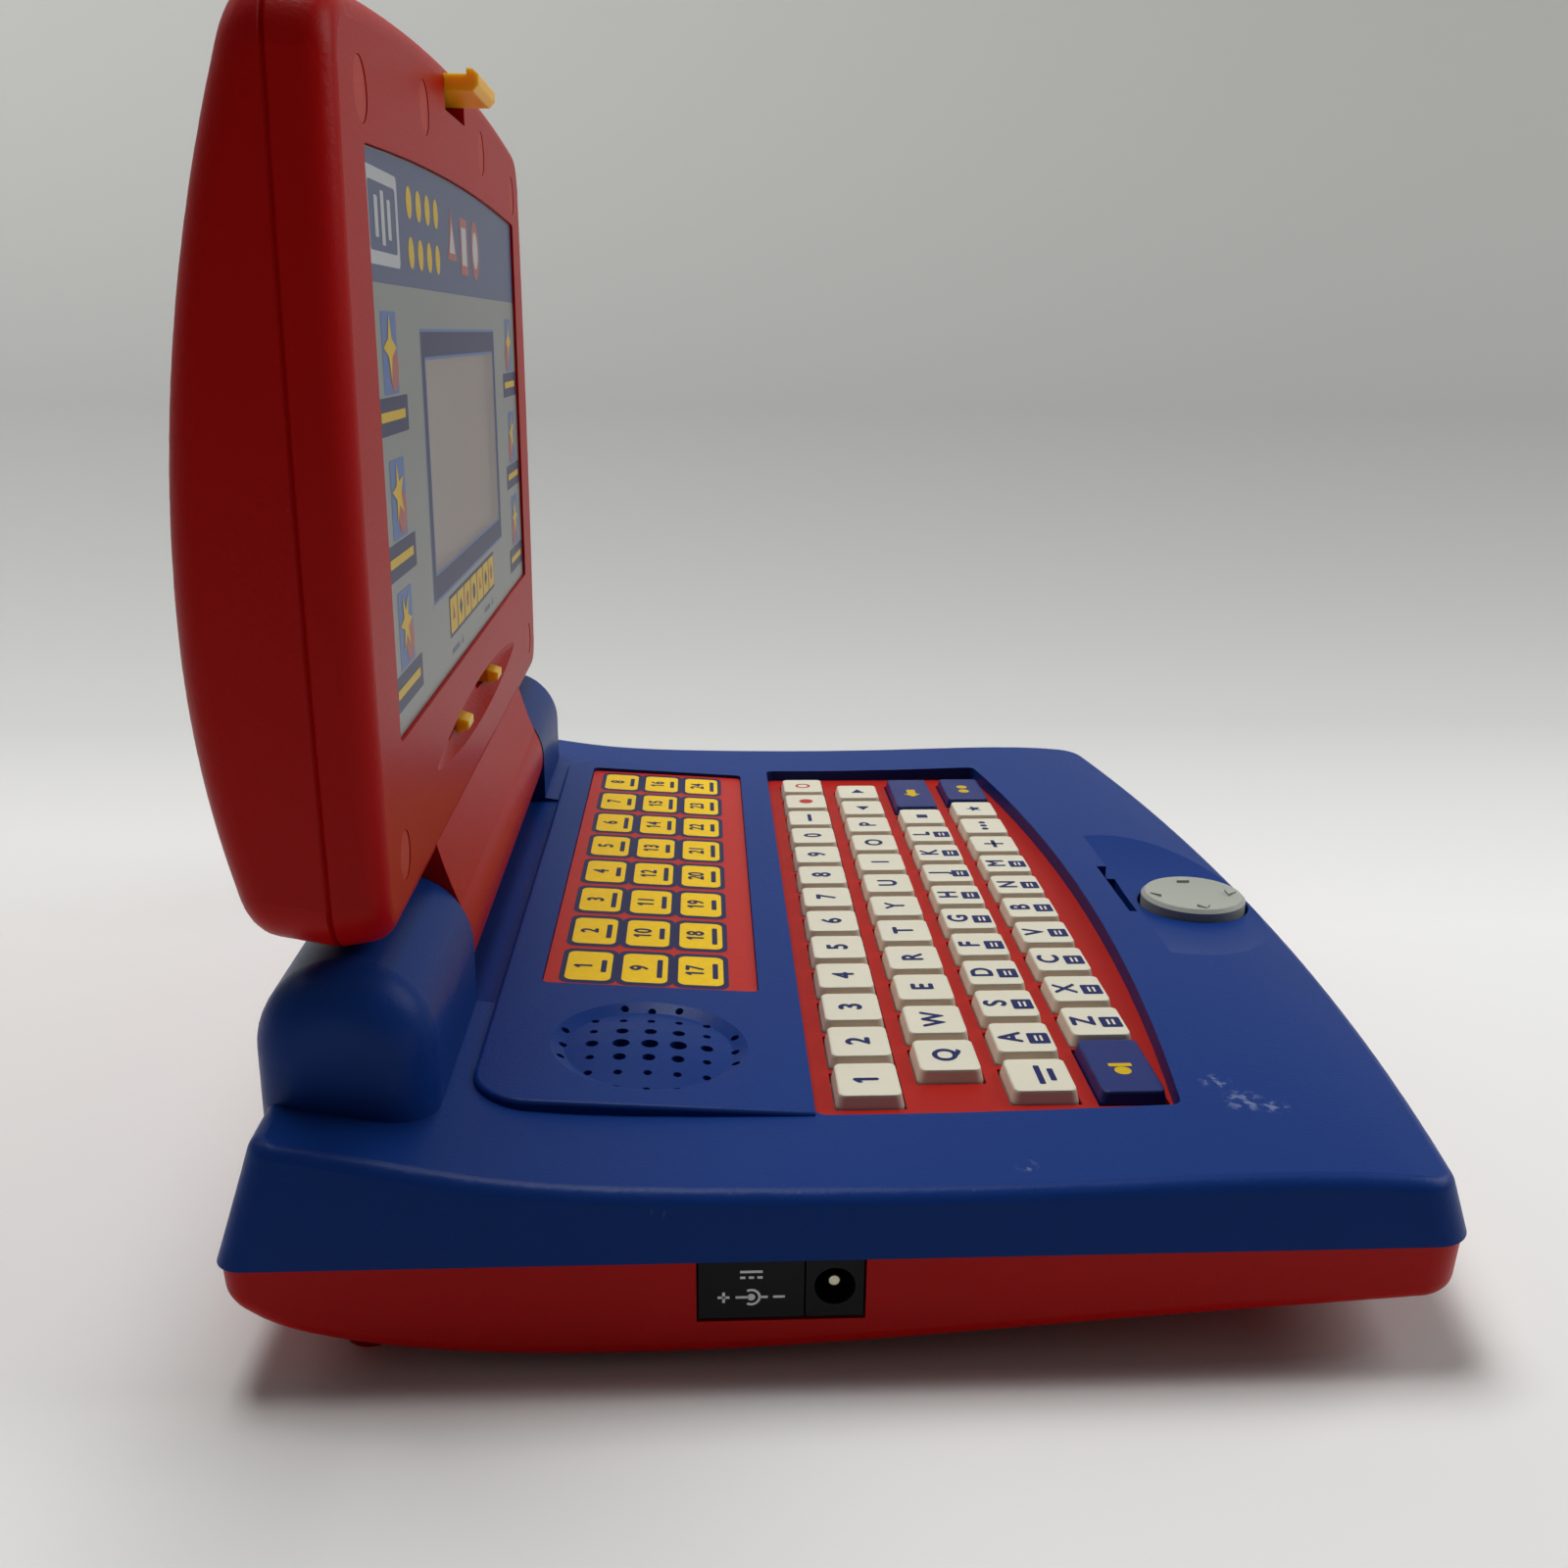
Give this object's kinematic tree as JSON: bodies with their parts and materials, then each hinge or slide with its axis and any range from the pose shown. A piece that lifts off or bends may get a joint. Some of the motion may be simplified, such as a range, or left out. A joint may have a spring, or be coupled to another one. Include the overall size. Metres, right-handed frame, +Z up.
{
  "type": "toy laptop computer",
  "caption": "Clamshell toy laptop with a hinged lid holding a small display, a spring keyboard, a rocking cursor pad, a printed activity panel and a power jack.",
  "frame": {"origin": "on the floor, under the middle of the open toy", "axes": "+Z up, +X to the user's right, +Y to the back where the lid is hinged"},
  "size_m": [0.261, 0.206, 0.2035],
  "materials": {
    "red_case": "moulded, fine satin texture",
    "blue_case": "moulded, fine satin texture",
    "red_plate": "moulded satin",
    "key_white": "moulded ivory, soft gloss, printed legends",
    "key_blue": "moulded, soft gloss",
    "mat_rubber": "silicone sheet",
    "circuit_board": "laminate board",
    "overlay_print": "printed sheet",
    "speaker_black": "paper cone and pressed basket",
    "black_plastic": "moulded",
    "grey_plastic": "moulded satin",
    "spring_steel": "strip steel",
    "screw_steel": "plated steel",
    "screen_print": "clear sheet printed from behind",
    "display_glass": "liquid crystal panel",
    "yellow_plastic": "moulded"
  },
  "bodies": {
    "base": {"base_bottom_shell": "red_case", "base_top_shell": "blue_case", "keyboard_plate": "red_plate", "key_mat": "mat_rubber", "main_board": "circuit_board", "activity_overlay": "overlay_print", "loudspeaker": "speaker_black", "dc_jack": "black_plastic", "jack_plate": "black_plastic", "battery_door": "red_case", "battery_contacts": "spring_steel", "case_screws": "screw_steel", "hinge_pins": "screw_steel"},
    "lid": {"lid_bezel": "red_case", "lid_back_cover": "red_case", "screen_lens": "screen_print", "display_tray": "red_case", "display_glass": "display_glass", "screw_plugs": "red_case", "lid_screws": "screw_steel", "latch_spring": "spring_steel", "control_board": "circuit_board"},
    "latch": {"latch": "yellow_plastic"},
    "volume_knob": {"volume_knob": "yellow_plastic"},
    "contrast_knob": {"contrast_knob": "yellow_plastic"},
    "cursor_pivot": {"cursor_pivot": "black_plastic"},
    "cursor_pad": {"cursor_pad": "grey_plastic"},
    "key_q": {"key_q": "key_white"},
    "key_w": {"key_w": "key_white"},
    "key_e": {"key_e": "key_white"},
    "key_r": {"key_r": "key_white"},
    "key_t": {"key_t": "key_white"},
    "key_y": {"key_y": "key_white"},
    "key_u": {"key_u": "key_white"},
    "key_i": {"key_i": "key_white"},
    "key_o": {"key_o": "key_white"},
    "key_p": {"key_p": "key_white"},
    "key_a": {"key_a": "key_white"},
    "key_s": {"key_s": "key_white"},
    "key_d": {"key_d": "key_white"},
    "key_f": {"key_f": "key_white"},
    "key_g": {"key_g": "key_white"},
    "key_h": {"key_h": "key_white"},
    "key_j": {"key_j": "key_white"},
    "key_k": {"key_k": "key_white"},
    "key_l": {"key_l": "key_white"},
    "key_z": {"key_z": "key_white"},
    "key_x": {"key_x": "key_white"},
    "key_c": {"key_c": "key_white"},
    "key_v": {"key_v": "key_white"},
    "key_b": {"key_b": "key_white"},
    "key_n": {"key_n": "key_white"},
    "key_m": {"key_m": "key_white"},
    "key_wide_left": {"key_wide_left": "key_blue"},
    "key_wide_right": {"key_wide_right": "key_blue"},
    "key_wide_enter": {"key_wide_enter": "key_blue"},
    "digit_keys": {"digit_keys": "key_white"},
    "function_keys": {"function_keys": "key_white"}
  },
  "joints": [
    {"name": "lid_hinge", "type": "hinge", "parent": "base", "child": "lid", "pos_m": [0, 0.0825, 0.045], "axis": [1, 0, 0], "range_deg": [-20, 91.9]},
    {"name": "latch_slide", "type": "slide", "parent": "lid", "child": "latch", "axis": [0, 0, 1], "range_m": [-0.003, 0], "stiffness_N_per_m": 400, "deforming": ["latch_spring"]},
    {"name": "volume_slide", "type": "slide", "parent": "lid", "child": "volume_knob", "axis": [1, 0, 0], "range_m": [-0.0065, 0.002]},
    {"name": "contrast_slide", "type": "slide", "parent": "lid", "child": "contrast_knob", "axis": [1, 0, 0], "range_m": [-0.0065, 0.002]},
    {"name": "cursor_tilt_fore", "type": "hinge", "parent": "base", "child": "cursor_pivot", "pos_m": [0, -0.0874, 0.0196], "axis": [1, 0, 0], "range_deg": [-4, 4], "stiffness_Nm_per_rad": 0.4},
    {"name": "cursor_tilt_side", "type": "hinge", "parent": "cursor_pivot", "child": "cursor_pad", "pos_m": [0, -0.0874, 0.0196], "axis": [0, 1, 0], "range_deg": [-4, 4], "stiffness_Nm_per_rad": 0.4},
    {"name": "key_q_press", "type": "slide", "parent": "base", "child": "key_q", "axis": [0, 0, 1], "range_m": [-0.0016, 0], "stiffness_N_per_m": 300},
    {"name": "key_w_press", "type": "slide", "parent": "base", "child": "key_w", "axis": [0, 0, 1], "range_m": [-0.0016, 0], "stiffness_N_per_m": 300},
    {"name": "key_e_press", "type": "slide", "parent": "base", "child": "key_e", "axis": [0, 0, 1], "range_m": [-0.0016, 0], "stiffness_N_per_m": 300},
    {"name": "key_r_press", "type": "slide", "parent": "base", "child": "key_r", "axis": [0, 0, 1], "range_m": [-0.0016, 0], "stiffness_N_per_m": 300},
    {"name": "key_t_press", "type": "slide", "parent": "base", "child": "key_t", "axis": [0, 0, 1], "range_m": [-0.0016, 0], "stiffness_N_per_m": 300},
    {"name": "key_y_press", "type": "slide", "parent": "base", "child": "key_y", "axis": [0, 0, 1], "range_m": [-0.0016, 0], "stiffness_N_per_m": 300},
    {"name": "key_u_press", "type": "slide", "parent": "base", "child": "key_u", "axis": [0, 0, 1], "range_m": [-0.0016, 0], "stiffness_N_per_m": 300},
    {"name": "key_i_press", "type": "slide", "parent": "base", "child": "key_i", "axis": [0, 0, 1], "range_m": [-0.0016, 0], "stiffness_N_per_m": 300},
    {"name": "key_o_press", "type": "slide", "parent": "base", "child": "key_o", "axis": [0, 0, 1], "range_m": [-0.0016, 0], "stiffness_N_per_m": 300},
    {"name": "key_p_press", "type": "slide", "parent": "base", "child": "key_p", "axis": [0, 0, 1], "range_m": [-0.0016, 0], "stiffness_N_per_m": 300},
    {"name": "key_a_press", "type": "slide", "parent": "base", "child": "key_a", "axis": [0, 0, 1], "range_m": [-0.0016, 0], "stiffness_N_per_m": 300},
    {"name": "key_s_press", "type": "slide", "parent": "base", "child": "key_s", "axis": [0, 0, 1], "range_m": [-0.0016, 0], "stiffness_N_per_m": 300},
    {"name": "key_d_press", "type": "slide", "parent": "base", "child": "key_d", "axis": [0, 0, 1], "range_m": [-0.0016, 0], "stiffness_N_per_m": 300},
    {"name": "key_f_press", "type": "slide", "parent": "base", "child": "key_f", "axis": [0, 0, 1], "range_m": [-0.0016, 0], "stiffness_N_per_m": 300},
    {"name": "key_g_press", "type": "slide", "parent": "base", "child": "key_g", "axis": [0, 0, 1], "range_m": [-0.0016, 0], "stiffness_N_per_m": 300},
    {"name": "key_h_press", "type": "slide", "parent": "base", "child": "key_h", "axis": [0, 0, 1], "range_m": [-0.0016, 0], "stiffness_N_per_m": 300},
    {"name": "key_j_press", "type": "slide", "parent": "base", "child": "key_j", "axis": [0, 0, 1], "range_m": [-0.0016, 0], "stiffness_N_per_m": 300},
    {"name": "key_k_press", "type": "slide", "parent": "base", "child": "key_k", "axis": [0, 0, 1], "range_m": [-0.0016, 0], "stiffness_N_per_m": 300},
    {"name": "key_l_press", "type": "slide", "parent": "base", "child": "key_l", "axis": [0, 0, 1], "range_m": [-0.0016, 0], "stiffness_N_per_m": 300},
    {"name": "key_z_press", "type": "slide", "parent": "base", "child": "key_z", "axis": [0, 0, 1], "range_m": [-0.0016, 0], "stiffness_N_per_m": 300},
    {"name": "key_x_press", "type": "slide", "parent": "base", "child": "key_x", "axis": [0, 0, 1], "range_m": [-0.0016, 0], "stiffness_N_per_m": 300},
    {"name": "key_c_press", "type": "slide", "parent": "base", "child": "key_c", "axis": [0, 0, 1], "range_m": [-0.0016, 0], "stiffness_N_per_m": 300},
    {"name": "key_v_press", "type": "slide", "parent": "base", "child": "key_v", "axis": [0, 0, 1], "range_m": [-0.0016, 0], "stiffness_N_per_m": 300},
    {"name": "key_b_press", "type": "slide", "parent": "base", "child": "key_b", "axis": [0, 0, 1], "range_m": [-0.0016, 0], "stiffness_N_per_m": 300},
    {"name": "key_n_press", "type": "slide", "parent": "base", "child": "key_n", "axis": [0, 0, 1], "range_m": [-0.0016, 0], "stiffness_N_per_m": 300},
    {"name": "key_m_press", "type": "slide", "parent": "base", "child": "key_m", "axis": [0, 0, 1], "range_m": [-0.0016, 0], "stiffness_N_per_m": 300},
    {"name": "key_wide_left_press", "type": "slide", "parent": "base", "child": "key_wide_left", "axis": [0, 0, 1], "range_m": [-0.0016, 0], "stiffness_N_per_m": 300},
    {"name": "key_wide_right_press", "type": "slide", "parent": "base", "child": "key_wide_right", "axis": [0, 0, 1], "range_m": [-0.0016, 0], "stiffness_N_per_m": 300},
    {"name": "key_wide_enter_press", "type": "slide", "parent": "base", "child": "key_wide_enter", "axis": [0, 0, 1], "range_m": [-0.0016, 0], "stiffness_N_per_m": 300},
    {"name": "digit_keys_press", "type": "slide", "parent": "base", "child": "digit_keys", "axis": [0, 0, 1], "range_m": [-0.0016, 0], "stiffness_N_per_m": 3000},
    {"name": "function_keys_press", "type": "slide", "parent": "base", "child": "function_keys", "axis": [0, 0, 1], "range_m": [-0.0016, 0], "stiffness_N_per_m": 3000}
  ]
}
